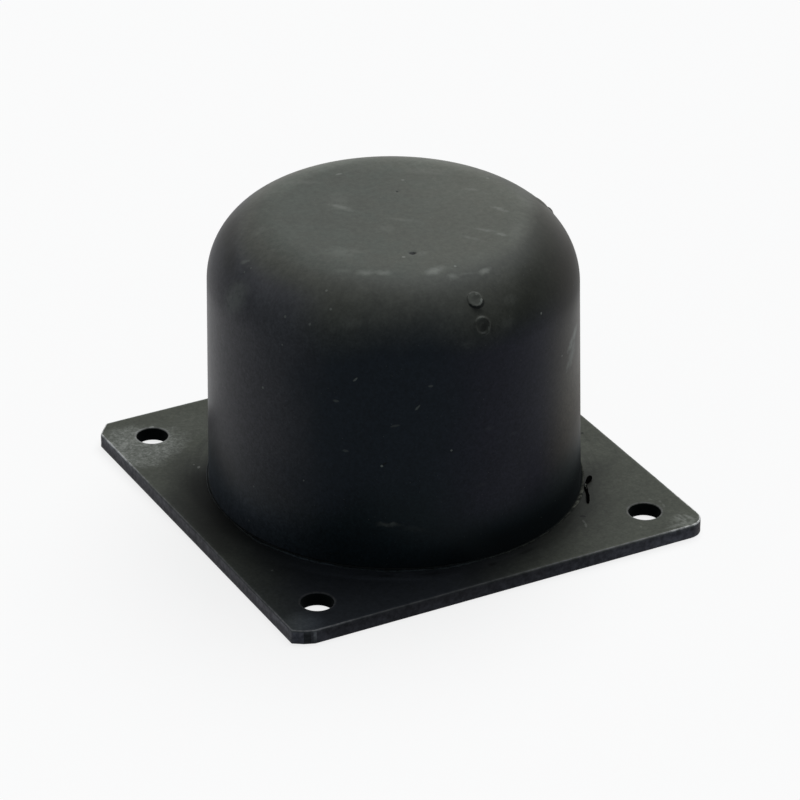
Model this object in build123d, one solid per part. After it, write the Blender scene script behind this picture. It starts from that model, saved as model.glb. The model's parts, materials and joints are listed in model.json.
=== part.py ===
"""Rubber bump stop: a moulded rubber buffer bonded onto a square steel plate.

Millimetres, +Z up. The origin is the middle of the plate's underside, the face that is
bolted against a structure. The plate's sides run along X and Y.
"""
import math
import os

from build123d import *

# Steel plate
plate_side = 125.0
plate_thickness = 4.0
hole_spacing = 100.0
hole_diameter = 9.0
corner_cut_along_x = 4.0
corner_cut_along_y = 5.0
uneven_cut_along_x = 5.5
uneven_cut_along_y = 2.9
uneven_cut_bulge = 0.4
corner_ease = 1.2
edge_break = 0.4

# Rubber buffer
foot_diameter = 102.4
buffer_height = 80.0
draft_angle = 1.1
shoulder_radius = 19.5

# Film of rubber that the closed mould squeezes out over the plate, round the foot
flash_width = 1.4
flash_thickness = 0.3
foot_groove_width = 0.5
foot_groove_depth = 0.35

# Moulding marks on the shoulder, in pairs that face the plate's four sides
gate_angles = (-90.0, 0.0, 90.0)
trimmed_gate_angle = 180.0
gate_elevation = 45.0
gate_diameter = 3.5
gate_height = 0.6
trimmed_gate_height = 0.12
vent_elevation = 24.0
vent_width = 3.4
vent_length = 4.4
vent_depth = 0.25
mark_root = 1.5

foot_radius = foot_diameter / 2
draft_slope = math.tan(math.radians(draft_angle))
shoulder_center_height = buffer_height - shoulder_radius
shoulder_center_radius = (
    foot_radius
    - shoulder_center_height * draft_slope
    - shoulder_radius / math.cos(math.radians(draft_angle))
)


def plate_outline():
    """Square outline with cut corners; the cut towards -X, -Y is uneven and has two facets."""
    half = plate_side / 2
    even_x = half - corner_cut_along_x
    even_y = half - corner_cut_along_y
    uneven_start = (uneven_cut_along_x - half, -half)
    uneven_end = (-half, uneven_cut_along_y - half)
    cut_length = math.hypot(uneven_cut_along_x, uneven_cut_along_y)
    uneven_middle = (
        (uneven_start[0] + uneven_end[0]) / 2 - uneven_cut_bulge * uneven_cut_along_y / cut_length,
        (uneven_start[1] + uneven_end[1]) / 2 - uneven_cut_bulge * uneven_cut_along_x / cut_length,
    )
    corners = [
        uneven_start,
        (even_x, -half),
        (half, -even_y),
        (half, even_y),
        (even_x, half),
        (-even_x, half),
        (-half, even_y),
        uneven_end,
        uneven_middle,
    ]
    outline = make_face(Polyline(*corners, close=True))
    even_corners = [
        vertex for vertex in outline.vertices()
        if vertex.X > 0 or vertex.Y > 0
    ]
    return fillet(even_corners, corner_ease)


def make_base_plate():
    """Sheared plate with four bolt holes and broken upper edges."""
    plate = extrude(plate_outline(), plate_thickness)
    holes = GridLocations(hole_spacing, hole_spacing, 2, 2) * Cylinder(
        hole_diameter / 2, plate_thickness, align=(Align.CENTER, Align.CENTER, Align.MIN)
    )
    rim = plate.faces().sort_by(Axis.Z)[-1].outer_wire().edges()
    return chamfer(rim, edge_break) - holes


def buffer_profile():
    """Half section of the buffer: film, foot groove, drafted wall, round shoulder, flat top."""
    wall_foot_radius = foot_radius - foot_groove_width
    wall_foot = (foot_radius - foot_groove_depth * draft_slope, foot_groove_depth)
    shoulder_corner = (foot_radius - buffer_height * draft_slope, buffer_height)
    section = Polyline(
        (0, 0),
        (foot_radius + flash_width, 0),
        (foot_radius + flash_width, flash_thickness),
        (foot_radius, flash_thickness),
        (wall_foot_radius, flash_thickness / 2),
        wall_foot,
        shoulder_corner,
        (0, buffer_height),
        close=True,
    )
    face = make_face(section)
    corner = face.vertices().sort_by_distance(shoulder_corner)[0]
    return fillet(corner, shoulder_radius)


def shoulder_plane(angle, elevation):
    """Plane that touches the round shoulder, with its normal at the given elevation."""
    slope = math.radians(elevation)
    turn = math.radians(angle)
    radius = shoulder_center_radius + shoulder_radius * math.cos(slope)
    height = plate_thickness + shoulder_center_height + shoulder_radius * math.sin(slope)
    outwards = Vector(math.cos(turn), math.sin(turn), 0)
    normal = outwards * math.cos(slope) + Vector(0, 0, math.sin(slope))
    sideways = Vector(-math.sin(turn), math.cos(turn), 0)
    return Plane(outwards * radius + Vector(0, 0, height), x_dir=sideways, z_dir=normal)


def gate_stub(angle, height):
    """Stub that is left where the rubber was fed in and cut off."""
    stub = Cylinder(
        gate_diameter / 2, mark_root + height, align=(Align.CENTER, Align.CENTER, Align.MAX)
    )
    return shoulder_plane(angle, gate_elevation).offset(height) * stub


def vent_mark(angle):
    """Shallow oval recess that the end of a vent pin leaves."""
    recess = extrude(Ellipse(vent_width / 2, vent_length / 2), vent_depth + mark_root)
    return shoulder_plane(angle, vent_elevation).offset(-vent_depth) * recess


def make_rubber_buffer():
    """One-piece moulding, bonded face to face onto the plate."""
    turned = revolve(Plane.XZ * buffer_profile(), Axis.Z)
    buffer = Pos(0, 0, plate_thickness) * turned
    for angle in gate_angles:
        buffer += gate_stub(angle, gate_height)
    buffer += gate_stub(trimmed_gate_angle, trimmed_gate_height)
    for angle in (*gate_angles, trimmed_gate_angle):
        buffer -= vent_mark(angle)
    return buffer


os.makedirs("parts", exist_ok=True)
nodes = {
    "base_plate": make_base_plate(),
    "rubber_buffer": make_rubber_buffer(),
}
for name, shape in nodes.items():
    export_step(shape, f"parts/{name}.step")
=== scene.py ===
"""Rubber bump stop: a solid rubber buffer moulded onto a square steel plate, with a plain studio."""

import json
import math

import bmesh
import bpy
import numpy as np
from bpy.props import FloatProperty, FloatVectorProperty, IntProperty, PointerProperty
from bpy.types import Operator, Panel, PropertyGroup
from mathutils import Matrix, Vector, noise


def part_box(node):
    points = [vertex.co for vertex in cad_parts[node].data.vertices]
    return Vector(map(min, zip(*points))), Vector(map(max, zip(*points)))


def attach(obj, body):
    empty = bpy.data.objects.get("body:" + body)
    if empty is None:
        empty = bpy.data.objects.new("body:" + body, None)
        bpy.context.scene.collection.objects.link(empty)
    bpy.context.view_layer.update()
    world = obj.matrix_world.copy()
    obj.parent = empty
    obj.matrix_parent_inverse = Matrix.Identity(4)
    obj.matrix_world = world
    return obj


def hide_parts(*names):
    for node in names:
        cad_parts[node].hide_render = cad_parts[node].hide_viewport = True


bl_info = {
    "name": "Rubber bump stop",
    "version": (1, 0, 0),
    "blender": (4, 5, 0),
    "location": "3D View > Sidebar > Bump stop",
    "description": "A rubber buffer on a square steel plate, its finishes and a plain studio",
    "category": "Object",
}

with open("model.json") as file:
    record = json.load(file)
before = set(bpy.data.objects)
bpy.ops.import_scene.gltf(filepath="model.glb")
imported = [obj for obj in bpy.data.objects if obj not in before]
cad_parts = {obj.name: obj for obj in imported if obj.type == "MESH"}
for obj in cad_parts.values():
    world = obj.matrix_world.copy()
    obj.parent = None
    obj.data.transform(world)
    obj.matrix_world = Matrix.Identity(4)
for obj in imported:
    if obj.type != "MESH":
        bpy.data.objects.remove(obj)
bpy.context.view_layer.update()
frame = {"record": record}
PLATE_LOW, PLATE_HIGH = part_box("base_plate")
BUFFER_LOW, BUFFER_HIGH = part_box("rubber_buffer")
BOLTS = next(m for m in frame["record"]["mounts"] if m["name"] == "plate_bolts")["dims"]
MM = 0.001
TURN = 2 * math.pi
# how many spots a chain of shader nodes takes in before the next chain waits for it
SPOT_BATCH = 16
# how far a spot reaches through the surface it lies on
SPOT_DEPTH = 3.6 * MM
# the share of the way out from its middle up to which a crisp or a soft spot keeps its full strength
CRISP, SOFT = 0.5, 0.1


# ---------------------------------------------------------------- settings


def size_setting(name, description, default):
    """A length in metres."""
    return FloatProperty(name=name, description=description, default=default, unit="LENGTH")


def angle_setting(name, description, degrees):
    """An angle, given here in degrees."""
    return FloatProperty(name=name, description=description, default=math.radians(degrees), unit="ROTATION")


def colour_setting(name, description, *default):
    """A colour as red, green and blue."""
    return FloatVectorProperty(
        name=name, description=description, default=default, subtype="COLOR", min=0.0, max=1.0
    )


class BufferSettings(PropertyGroup):
    """Sizes and colours of the rubber buffer."""

    film_radius: size_setting("Film radius", "Radius over the thin film of rubber round the foot", BUFFER_HIGH.x)
    film_width: size_setting("Film width", "How far the film stands out from the wall", 1.4 * MM)
    film_thickness: size_setting("Film thickness", "Thickness of the film on the plate", 0.3 * MM)
    base_height: size_setting("Base height", "Height of the plate's top, where the rubber starts", BUFFER_LOW.z)
    top_height: size_setting("Top height", "Height of the flat striking face", BUFFER_HIGH.z)
    draft: angle_setting("Draft", "How much the wall leans inwards", 1.1)
    shoulder_radius: size_setting("Shoulder radius", "Radius between the wall and the striking face", 19.5 * MM)
    lean: FloatProperty(
        name="Lean", description="How far the top stands towards -X, for each unit of height", default=0.0137
    )
    segments: IntProperty(name="Segments", description="Steps round the buffer", default=336, min=24)
    mark_pairs: IntProperty(
        name="Mark pairs", description="Pairs of moulding marks round the shoulder", default=4, min=1
    )
    wall_colour: colour_setting("Wall colour", "Black rubber of the wall", 0.011, 0.0145, 0.020)
    # grey of the striking face: bloom, and partly painted light from above
    bloom_and_light_colour: colour_setting("Bloom colour", "Grey bloom that settles on the striking face", 0.065, 0.070, 0.060)
    haze_colour: colour_setting("Haze colour", "Pale haze on one side of the wall", 0.060, 0.056, 0.062)
    scuff_colour: colour_setting("Scuff colour", "Pale rubbed marks", 0.20, 0.21, 0.19)


class PlateSettings(PropertyGroup):
    """Sizes and colours of the steel plate."""

    side: size_setting("Side", "Length of each side", PLATE_HIGH.x - PLATE_LOW.x)
    thickness: size_setting("Thickness", "Thickness of the plate", PLATE_HIGH.z - PLATE_LOW.z)
    hole_spacing: size_setting(
        "Hole spacing", "Distance between hole centres along a side", BOLTS["spacing_x_mm"] * MM
    )
    hole_radius: size_setting("Hole radius", "Radius of the bolt holes", BOLTS["hole_r_mm"] * MM)
    arris: size_setting("Arris", "Rounding of the plate's edges", 0.45 * MM)
    # slate of the coating, which in front of the buffer also stands for painted shade
    coat_and_shade_colour: colour_setting("Coat colour", "Thin slate black coating", 0.0135, 0.0154, 0.0185)
    olive_colour: colour_setting("Olive colour", "Duller coating towards the side corners", 0.050, 0.054, 0.043)
    worn_colour: colour_setting("Worn colour", "Coating that has been handled and rubbed", 0.150, 0.158, 0.144)
    cut_colour: colour_setting("Cut colour", "Rough cut edge faces", 0.031, 0.030, 0.035)


class StudioSettings(PropertyGroup):
    """Camera, floor and light."""

    azimuth: angle_setting("Azimuth", "Camera direction round the object", -28.6676)
    elevation: angle_setting("Elevation", "Camera height above the horizon", 28.823)
    roll: angle_setting("Roll", "Turn of the camera about its view", 0.4393)
    distance: size_setting(
        "Distance", "From the middle of the plate's underside to the camera's plane", 1140.24 * MM
    )
    offset_right: size_setting("Offset right", "Camera moved to its right", 1.31 * MM)
    offset_up: size_setting("Offset up", "Camera moved up", 23.55 * MM)
    lens: FloatProperty(
        name="Lens", description="Focal length in millimetres on a 36 mm wide sensor", default=186.07
    )
    lamp_azimuth: angle_setting("Lamp azimuth", "Direction the lamp shines from, round the object", 40.0)
    lamp_elevation: angle_setting("Lamp elevation", "Height of the lamp above the horizon", 60.0)
    lamp_width: angle_setting("Lamp width", "How wide the lamp looks from the object", 50.0)
    lamp_strength: FloatProperty(
        name="Lamp strength", description="Light that falls square on a surface", default=2.7
    )
    fill_colour: colour_setting("Fill colour", "Dim light from all round", 0.135, 0.15, 0.16)
    floor_colour: colour_setting("Floor colour", "Pale studio floor, as it lights the object", 0.36, 0.40, 0.42)


# ---------------------------------------------------------------- nodes


class Formula:
    """A value in a node tree; sums and products of it are added to the tree as they are written."""

    def __init__(self, socket):
        self.socket = socket
        self.tree = socket.id_data

    def math(self, operation, *others):
        node = self.tree.nodes.new("ShaderNodeMath")
        node.operation = operation
        for place, value in enumerate((self, *others)):
            feed(self.tree, node.inputs[place], value)
        return Formula(node.outputs[0])

    def __add__(self, other):
        return self.math("ADD", other)

    def __radd__(self, other):
        return self.math("ADD", other)

    def __sub__(self, other):
        return self.math("SUBTRACT", other)

    def __rsub__(self, other):
        return self.math("MULTIPLY", -1.0).math("ADD", other)

    def __mul__(self, other):
        return self.math("MULTIPLY", other)

    def __truediv__(self, other):
        return self.math("DIVIDE", other)

    def __abs__(self):
        return self.math("ABSOLUTE")

    def most(self, other):
        """The larger of two values."""
        return self.math("MAXIMUM", other)

    def over(self, low, high, start=0.0, end=1.0):
        """Goes smoothly from start to end as the value goes from low to high."""
        node = self.tree.nodes.new("ShaderNodeMapRange")
        node.interpolation_type = "SMOOTHSTEP"
        names = ("Value", "From Min", "From Max", "To Min", "To Max")
        for name, value in zip(names, (self, low, high, start, end)):
            feed(self.tree, node.inputs[name], value)
        return Formula(node.outputs["Result"])


def feed(tree, socket, value):
    """Links or sets one input."""
    if isinstance(value, Formula):
        tree.links.new(value.socket, socket)
    elif isinstance(value, bpy.types.NodeSocket):
        tree.links.new(value, socket)
    elif value is not None:
        socket.default_value = value


def add_node(tree, kind, inputs=None, **settings):
    """A new node with its settings and inputs."""
    node = tree.nodes.new(kind)
    for name, value in settings.items():
        setattr(node, name, value)
    for name, value in (inputs or {}).items():
        feed(tree, node.inputs[name], value)
    return node


def length_of(*parts):
    """Length of the vector made of two or three parts."""
    tree = parts[0].tree
    vector = add_node(tree, "ShaderNodeCombineXYZ", dict(zip("XYZ", parts)))
    node = add_node(tree, "ShaderNodeVectorMath", {0: vector.outputs[0]}, operation="LENGTH")
    return Formula(node.outputs["Value"])


# ---------------------------------------------------------------- rubber buffer

# points of the half section: under the foot, up the wall near the foot and above, and on the striking face
FOOT_POINTS, LOW_POINTS, WALL_POINTS, FACE_POINTS = 7, 10, 56, 54
# parts of the shoulder, closest where the marks are: end in degrees and points
SHOULDER_PARTS = ((14.0, 7), (53.0, 78), (90.0, 20))
# edge of the film: share of its width and of its thickness at each point
FILM_EDGE = ((1.0, 0.15), (1.0, 0.4), (0.95, 0.75), (0.86, 0.98), (0.74, 1.0), (0.62, 0.8), (0.5, 0.5))
FILM_EDGE += ((0.36, 0.3), (0.2, 0.22), (0.08, 0.2), (0.0, 0.25))


def arc_centre(s):
    """Radius and height of the ring that the shoulder's arc turns about."""
    height = s.top_height - s.shoulder_radius
    foot = s.film_radius - s.film_width
    return foot - (height - s.base_height) * math.tan(s.draft) - s.shoulder_radius / math.cos(s.draft), height


def section_points(s):
    """Half section of the buffer from the bottom's middle to the top's: radius, height and, along the
    shoulder, the distance from where its arc would be upright."""
    foot = s.film_radius - s.film_width
    base = s.base_height
    slope = math.tan(s.draft)
    arc = s.shoulder_radius
    arc_radius, arc_height = arc_centre(s)
    film = s.film_thickness
    rim = s.film_radius
    rows = [(r, base) for r in np.linspace(0.0, rim - 0.1 * MM, FOOT_POINTS)]
    rows += [(foot + (rim - foot) * out, base + film * up) for out, up in FILM_EDGE]
    wall_end = arc_height + arc * math.sin(s.draft)
    near_foot = np.linspace(base + 0.25 * MM, base + 4 * MM, LOW_POINTS)
    up_wall = np.linspace(base + 4.8 * MM, wall_end - 0.8 * MM, WALL_POINTS)
    rows += [(foot - (z - base) * slope, z) for z in np.concatenate([near_foot, up_wall])]
    turns = [s.draft]
    for end, count in SHOULDER_PARTS:
        turns += list(np.linspace(turns[-1], math.radians(end), count)[1:])
    rows += [(arc_radius + arc * math.cos(t), arc_height + arc * math.sin(t)) for t in turns]
    rows += [(r, s.top_height) for r in np.linspace(arc_radius - 0.7 * MM, 0.0, FACE_POINTS)]
    points = np.array(rows)
    along = (points[:, 1] - arc_height).copy()
    on_arc = points[:, 1] > arc_height
    turn = np.arctan2(points[on_arc, 1] - arc_height, np.maximum(points[on_arc, 0] - arc_radius, 0.0))
    along[on_arc] = turn * arc
    return points, along


def sampled(section, value, index, data_type):
    """A value read from one of the section's points."""
    inputs = {"Geometry": section, "Value": value, "Index": index}
    return add_node(section.tree, "GeometryNodeSampleIndex", inputs, data_type=data_type).outputs[0]


def kept(geometry, name, value):
    """Geometry that keeps a value on its points under a name."""
    inputs = {"Geometry": geometry, "Name": name, "Value": value}
    node = add_node(value.tree, "GeometryNodeStoreNamedAttribute", inputs, data_type="FLOAT", domain="POINT")
    return node.outputs[0]


def read_back(tree, name):
    """A value that was kept on the points under a name."""
    node = add_node(tree, "GeometryNodeInputNamedAttribute", {"Name": name}, data_type="FLOAT")
    return node.outputs["Attribute"]


def revolve_tree(s):
    """Geometry Nodes that turn a half section into the buffer and raise its moulding marks."""
    tree = bpy.data.node_groups.new("Turned buffer", "GeometryNodeTree")
    face = tree.interface
    inputs = (
        ("Section", "Geometry", None),
        ("Segments", "Int", s.segments),
        ("Mark pairs", "Int", s.mark_pairs),
        ("Crowding", "Float", 0.78),
        ("Roundness", "Float", 11.0),
        ("Lean", "Float", s.lean),
        ("Base height", "Float", s.base_height),
        ("Shoulder radius", "Float", s.shoulder_radius),
        ("Stub elevation", "Float", math.radians(45.0)),
        ("Stub radius", "Float", 2.05 * MM),
        ("Stub height", "Float", 0.72 * MM),
        ("Stub middle", "Float", 0.6),
        ("Stub slope", "Float", 0.45),
        ("Stub fall", "Float", 0.08),
        ("Stub edge", "Float", 0.09 * MM),
        ("Trimmed share", "Float", 0.06),
        ("Vent elevation", "Float", math.radians(24.0)),
        ("Vent width", "Float", 4.3 * MM),
        ("Vent length", "Float", 4.7 * MM),
        ("Vent rim", "Float", 0.38 * MM),
        ("Vent depth", "Float", 0.25 * MM),
        ("Rubber", "Material", None),
    )
    for name, kind, default in inputs:
        socket = face.new_socket(name, in_out="INPUT", socket_type="NodeSocket" + kind)
        if default is not None:
            socket.default_value = default
    face.new_socket("Buffer", in_out="OUTPUT", socket_type="NodeSocketGeometry")
    entry = add_node(tree, "NodeGroupInput")

    def given(name):
        return Formula(entry.outputs[name])

    # a grid with a column of the section's points for each step round
    count = add_node(tree, "GeometryNodeAttributeDomainSize", {"Geometry": given("Section")})
    columns = given("Segments") + 1.0
    corners = {"Vertices X": count.outputs["Point Count"], "Vertices Y": columns}
    grid = add_node(tree, "GeometryNodeMeshGrid", corners)
    index = Formula(add_node(tree, "GeometryNodeInputIndex").outputs[0])
    row = ((index + 0.5) / columns).math("FLOOR")
    column = index - row * columns
    position = add_node(tree, "GeometryNodeInputPosition").outputs[0]
    place = sampled(given("Section"), position, row, "FLOAT_VECTOR")
    along = Formula(sampled(given("Section"), read_back(tree, "along"), row, "FLOAT"))
    parts = add_node(tree, "ShaderNodeSeparateXYZ", {0: place})
    radius, height = Formula(parts.outputs["X"]), Formula(parts.outputs["Z"])
    # the columns crowd together at the marks
    pairs = given("Mark pairs")
    turn = column * TURN / given("Segments")
    angle = turn - given("Crowding") * (turn * pairs).math("SINE") / pairs
    leaning_x = radius * angle.math("COSINE") - (height - given("Base height")) * given("Lean")
    leaning = {"X": leaning_x, "Y": radius * angle.math("SINE"), "Z": height}
    spot = add_node(tree, "ShaderNodeCombineXYZ", leaning)
    # the marks' measures are kept on the points before they move, so that seams can be merged first
    nearest = (angle * pairs / TURN).math("ROUND") * TURN / pairs
    across = (angle - nearest) * radius
    trimmed = nearest.math("SINE").over(-0.9, -0.5, 1.0, given("Trimmed share"))
    arc = given("Shoulder radius")
    stub_radius, edge = given("Stub radius"), given("Stub edge")
    stub_up = along - given("Stub elevation") * arc
    stub_face = length_of(across, stub_up).over(stub_radius - edge, stub_radius + edge, 1.0, 0.0)
    # what the rubber curves away beneath the stub is made up, so that its face is flat
    flatten = stub_up * stub_up / (arc * 2.0) + across * across * given("Roundness")
    tilt = across * given("Stub slope") / stub_radius - stub_up * given("Stub fall") / stub_radius
    sloped = tilt + given("Stub middle")
    stub = stub_face * (given("Stub height") * sloped + flatten) * trimmed
    vent_up = (along - given("Vent elevation") * arc) * 2.0
    oval = length_of(across * 2.0 / given("Vent width"), vent_up / given("Vent length"))
    ridge = (((oval - 0.9) * 5.0).math("POWER", 2.0) * -1.0).math("EXPONENT")
    pan = oval.over(0.6, 0.95, 1.0, 0.0)
    vent = (ridge * given("Vent rim") - pan * given("Vent depth")) * trimmed
    places = {"Geometry": grid.outputs["Mesh"], "Position": spot.outputs[0]}
    placed = add_node(tree, "GeometryNodeSetPosition", places)
    marked = kept(kept(placed.outputs[0], "lift", stub + vent), "stub_face", stub_face)
    merged = add_node(tree, "GeometryNodeMergeByDistance", {"Geometry": marked, "Distance": 0.001 * MM})
    outward_faces = add_node(tree, "GeometryNodeFlipFaces", {"Mesh": merged.outputs[0]})
    normal = add_node(tree, "GeometryNodeInputNormal").outputs[0]
    lift = {0: normal, "Scale": read_back(tree, "lift")}
    push = add_node(tree, "ShaderNodeVectorMath", lift, operation="SCALE")
    moves = {"Geometry": outward_faces.outputs[0], "Offset": push.outputs[0]}
    raised = add_node(tree, "GeometryNodeSetPosition", moves)
    smooth = add_node(tree, "GeometryNodeSetShadeSmooth", {"Geometry": raised.outputs[0]})
    real = add_node(tree, "GeometryNodeRealizeInstances", {"Geometry": smooth.outputs[0]})
    covers = {"Geometry": real.outputs[0], "Material": given("Rubber")}
    painted = add_node(tree, "GeometryNodeSetMaterial", covers)
    add_node(tree, "NodeGroupOutput", {"Buffer": painted.outputs[0]})
    return tree


def link_object(name, mesh):
    """A new object in the scene."""
    made = bpy.data.objects.new(name, mesh)
    bpy.context.scene.collection.objects.link(made)
    return made


def grown_mesh(section, tree, settings, name):
    """The plain mesh that a tree makes of an object, its inputs set by identifier."""
    modifier = section.modifiers.new("Nodes", "NODES")
    modifier.node_group = tree
    for item in tree.interface.items_tree:
        if item.in_out == "INPUT" and item.name in settings:
            modifier[item.identifier] = settings[item.name]
    bpy.context.view_layer.update()
    ready = section.evaluated_get(bpy.context.evaluated_depsgraph_get())
    mesh = bpy.data.meshes.new_from_object(ready)
    mesh.name = name
    bpy.data.objects.remove(section)
    return mesh


def soft_noise(x, y, z, size):
    """Smooth noise between -1 and 1 with lumps of about the given size."""
    return noise.noise(Vector((x / size, y / size, z / size)))


# steps round the torn curl and round each bolt hole
CURL_SIDES, HOLE_STEPS = 12, 56
# the film round the foot: angle in degrees, width in millimetres, and the strength of the highlight painted along
# its edge
FILM = (
    (-175, 0.4, 0.05),
    (-168, 1.0, 0.2),
    (-164, 1.3, 0.4),
    (-158, 1.2, 0.35),
    (-152, 1.2, 0.7),
    (-146, 1.2, 1.0),
    (-140, 1.2, 0.9),
    (-134, 1.2, 0.15),
    (-128, 1.3, 0.35),
    (-119, 1.4, 0.5),
    (-110, 1.3, 0.45),
    (-102, 1.4, 0.3),
    (-94, 0.9, 0.4),
    (-86, 0.9, 0.3),
    (-68, 0.9, 0.25),
    (-56, 0.9, 0.25),
    (-50, 1.1, 0.8),
    (-47, 1.25, 1.0),
    (-42, 1.25, 1.0),
    (-36, 1.2, 0.7),
    (-20, 0.6, 0.4),
    (90, 0.7, 0.4),
    (160, 0.7, 0.2),
    (175, 0.4, 0.05),
)
# place on the striking face, size and depth of each pit, in millimetres
PITS = ((-7.8, -23.3, 0.75, 0.5), (6.1, 10.9, 0.4, 0.25))
# the curl of torn film, from end to end: place on the plate, width and height, in millimetres
TORN_FILM = (
    (46.4, -27.5, 0.7, 0.7),
    (46.0, -27.9, 1.2, 1.1),
    (45.3, -28.5, 1.4, 1.3),
    (44.5, -29.2, 1.1, 1.1),
    (43.6, -29.9, 0.7, 0.8),
    (42.8, -30.8, 0.6, 0.6),
    (42.2, -31.8, 0.8, 0.8),
    (41.8, -32.8, 0.9, 0.8),
    (41.3, -34.0, 0.6, 0.7),
    (40.8, -35.2, 0.8, 0.9),
    (40.3, -36.3, 0.9, 1.1),
    (39.6, -37.5, 0.9, 1.1),
    (38.9, -38.7, 0.8, 0.9),
    (38.6, -39.2, 0.5, 0.5),
)
# where a bit of flash stands proud of the shoulder
FLASH_ROUND = math.radians(-5.0)
# angle up the shoulder in degrees, height and reach in millimetres
FLASH = ((36.0, 0.42, 1.15), (48.0, 0.28, 2.3))


def wear_buffer(mesh, s):
    """Ragged film round the foot, a flash bit on the shoulder, and pits in the striking face."""
    foot = s.film_radius - s.film_width
    base = s.base_height
    co = np.empty(len(mesh.vertices) * 3, np.float32)
    mesh.vertices.foreach_get("co", co)
    co = co.reshape(-1, 3).astype(float)
    radius = np.hypot(co[:, 0], co[:, 1])
    angle = np.arctan2(co[:, 1], co[:, 0])
    # how strongly a highlight is painted along the film's edge, kept on the points
    angles, widths, highlights = zip(*FILM)
    width = np.interp(np.degrees(angle), angles, widths, period=360.0) * MM
    highlight = np.interp(np.degrees(angle), angles, highlights, period=360.0)
    mesh.attributes.new("film_highlight", "FLOAT", "POINT").data.foreach_set("value", highlight.astype(np.float32))
    on_film = (co[:, 2] < base + s.film_thickness + 0.01 * MM) & (radius > foot - 0.01 * MM)
    for i in np.flatnonzero(on_film):
        cx, cy = math.cos(angle[i]), math.sin(angle[i])
        out = min(1.0, max(0.0, (radius[i] - foot) / s.film_width))
        ragged = 1.0 + 0.22 * soft_noise(cx, cy, 3.1, 0.09) + 0.22 * soft_noise(cx, cy, 7.7, 0.03)
        r = foot + out * max(0.15 * MM, width[i] * ragged)
        lumps = 0.75 + 0.7 * soft_noise(cx, cy, 1.3, 0.05) + 0.5 * soft_noise(cx, cy, 5.1, 0.015)
        co[i] = (r * cx, r * cy, base + (co[i, 2] - base) * max(0.15, lumps))
    on_top = co[:, 2] > s.top_height - 1.0 * MM
    for px, py, size, depth in PITS:
        gap = np.hypot(co[:, 0] - px * MM, co[:, 1] - py * MM) / (size * MM)
        co[:, 2] -= np.where(on_top, depth * MM * np.exp(-(gap**2)), 0.0)
    # a bit of flash left proud beside the trimmed mark at +X
    ring, ring_height = arc_centre(s)
    for up, height, reach in FLASH:
        flat = math.cos(math.radians(up))
        cx, cy = math.cos(FLASH_ROUND), math.sin(FLASH_ROUND)
        normal = np.array((flat * cx, flat * cy, math.sin(math.radians(up))))
        spot = normal * s.shoulder_radius + (ring * cx, ring * cy, ring_height)
        spot[0] -= s.lean * (spot[2] - base)
        gap = np.linalg.norm(co - spot, axis=1) / (reach * MM)
        co += normal * (height * MM * np.exp(-(gap**4)))[:, None]
    co[:, 2] = np.minimum(co[:, 2], s.top_height - 0.001 * MM)
    mesh.vertices.foreach_set("co", co.astype(np.float32).ravel())
    mesh.update()


def make_torn_film(s, material):
    """A curl of torn film that stands on the plate beside the foot, as a strip flattened to stand upright."""
    curl = np.array(TORN_FILM) * MM
    path = [Vector((px, py, s.base_height - 0.05 * MM + height / 2)) for px, py, _, height in curl]
    bm = bmesh.new()
    rings = []
    for i, centre in enumerate(path):
        along = path[min(i + 1, len(path) - 1)] - path[max(i - 1, 0)]
        out = Vector((along.y, -along.x, 0.0)).normalized()
        width, height = curl[i, 2:]
        ring = []
        for k in range(CURL_SIDES):
            turn = TURN * k / CURL_SIDES
            lump = 1.0 + 0.3 * soft_noise(centre.x + 0.4 * MM * k, centre.y, 0.0, 0.9 * MM)
            reach = out * (math.cos(turn) * width / 2 * lump)
            ring.append(bm.verts.new(centre + reach + Vector((0.0, 0.0, math.sin(turn) * height / 2 * lump))))
        rings.append(ring)
    join_rings(bm, rings)
    for ring, centre in ((rings[0], path[0]), (rings[-1], path[-1])):
        tip = bm.verts.new(centre)
        for a, b in zip(ring, ring[1:] + ring[:1]):
            bm.faces.new((tip, a, b))
    bmesh.ops.recalc_face_normals(bm, faces=bm.faces)
    mesh = bpy.data.meshes.new("torn_film_curl")
    bm.to_mesh(mesh)
    bm.free()
    mesh.shade_smooth()
    mesh.materials.append(material)
    piece = link_object("torn_film_curl", mesh)
    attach(piece, "root")


def make_buffer():
    """The buffer with its material, riding on the part."""
    s = bpy.context.scene.bump_stop_buffer
    points, along = section_points(s)
    mesh = bpy.data.meshes.new("half_section")
    mesh.from_pydata([(r, 0.0, z) for r, z in points], [(i, i + 1) for i in range(len(points) - 1)], [])
    mesh.attributes.new("along", "FLOAT", "POINT").data.foreach_set("value", along.astype(np.float32))
    section = link_object("half_section", mesh)
    material = rubber_material(s)
    tree = revolve_tree(s)
    buffer_mesh = grown_mesh(section, tree, {"Rubber": material}, "moulded_rubber_buffer")
    wear_buffer(buffer_mesh, s)
    piece = link_object("moulded_rubber_buffer", buffer_mesh)
    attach(piece, "root")
    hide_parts("rubber_buffer")
    make_torn_film(s, torn_film_painted_shade(s))


# ---------------------------------------------------------------- steel plate

# even cut corners: how much they take off along X and along Y
CORNER_CUT = (4.0 * MM, 5.0 * MM)
# the uneven cut towards -X, -Y: its corners from the left end to the right, in millimetres from the square's
UNEVEN_CUT = ((0.0, 2.9), (2.7, 1.1), (5.5, 0.0))
# radii of the corners, and the longest step along the outline
ROUND_CORNER, EASED, BARELY_EASED = 5.2 * MM, 1.3 * MM, 0.55 * MM
OUTLINE_STEP = 0.8 * MM
# section of a hole's edge from below to above: how far it flares and how high, in millimetres
HOLE_FOOT = ((0.7, 0.0), (0.25, 0.0), (0.05, 0.1), (0.0, 0.35), (0.0, 1.2), (0.0, 2.6))
# and its top, from the plate's top down
HOLE_TOP = ((0.0, 0.35), (0.06, 0.1), (0.25, 0.0), (0.7, 0.0))


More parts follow.
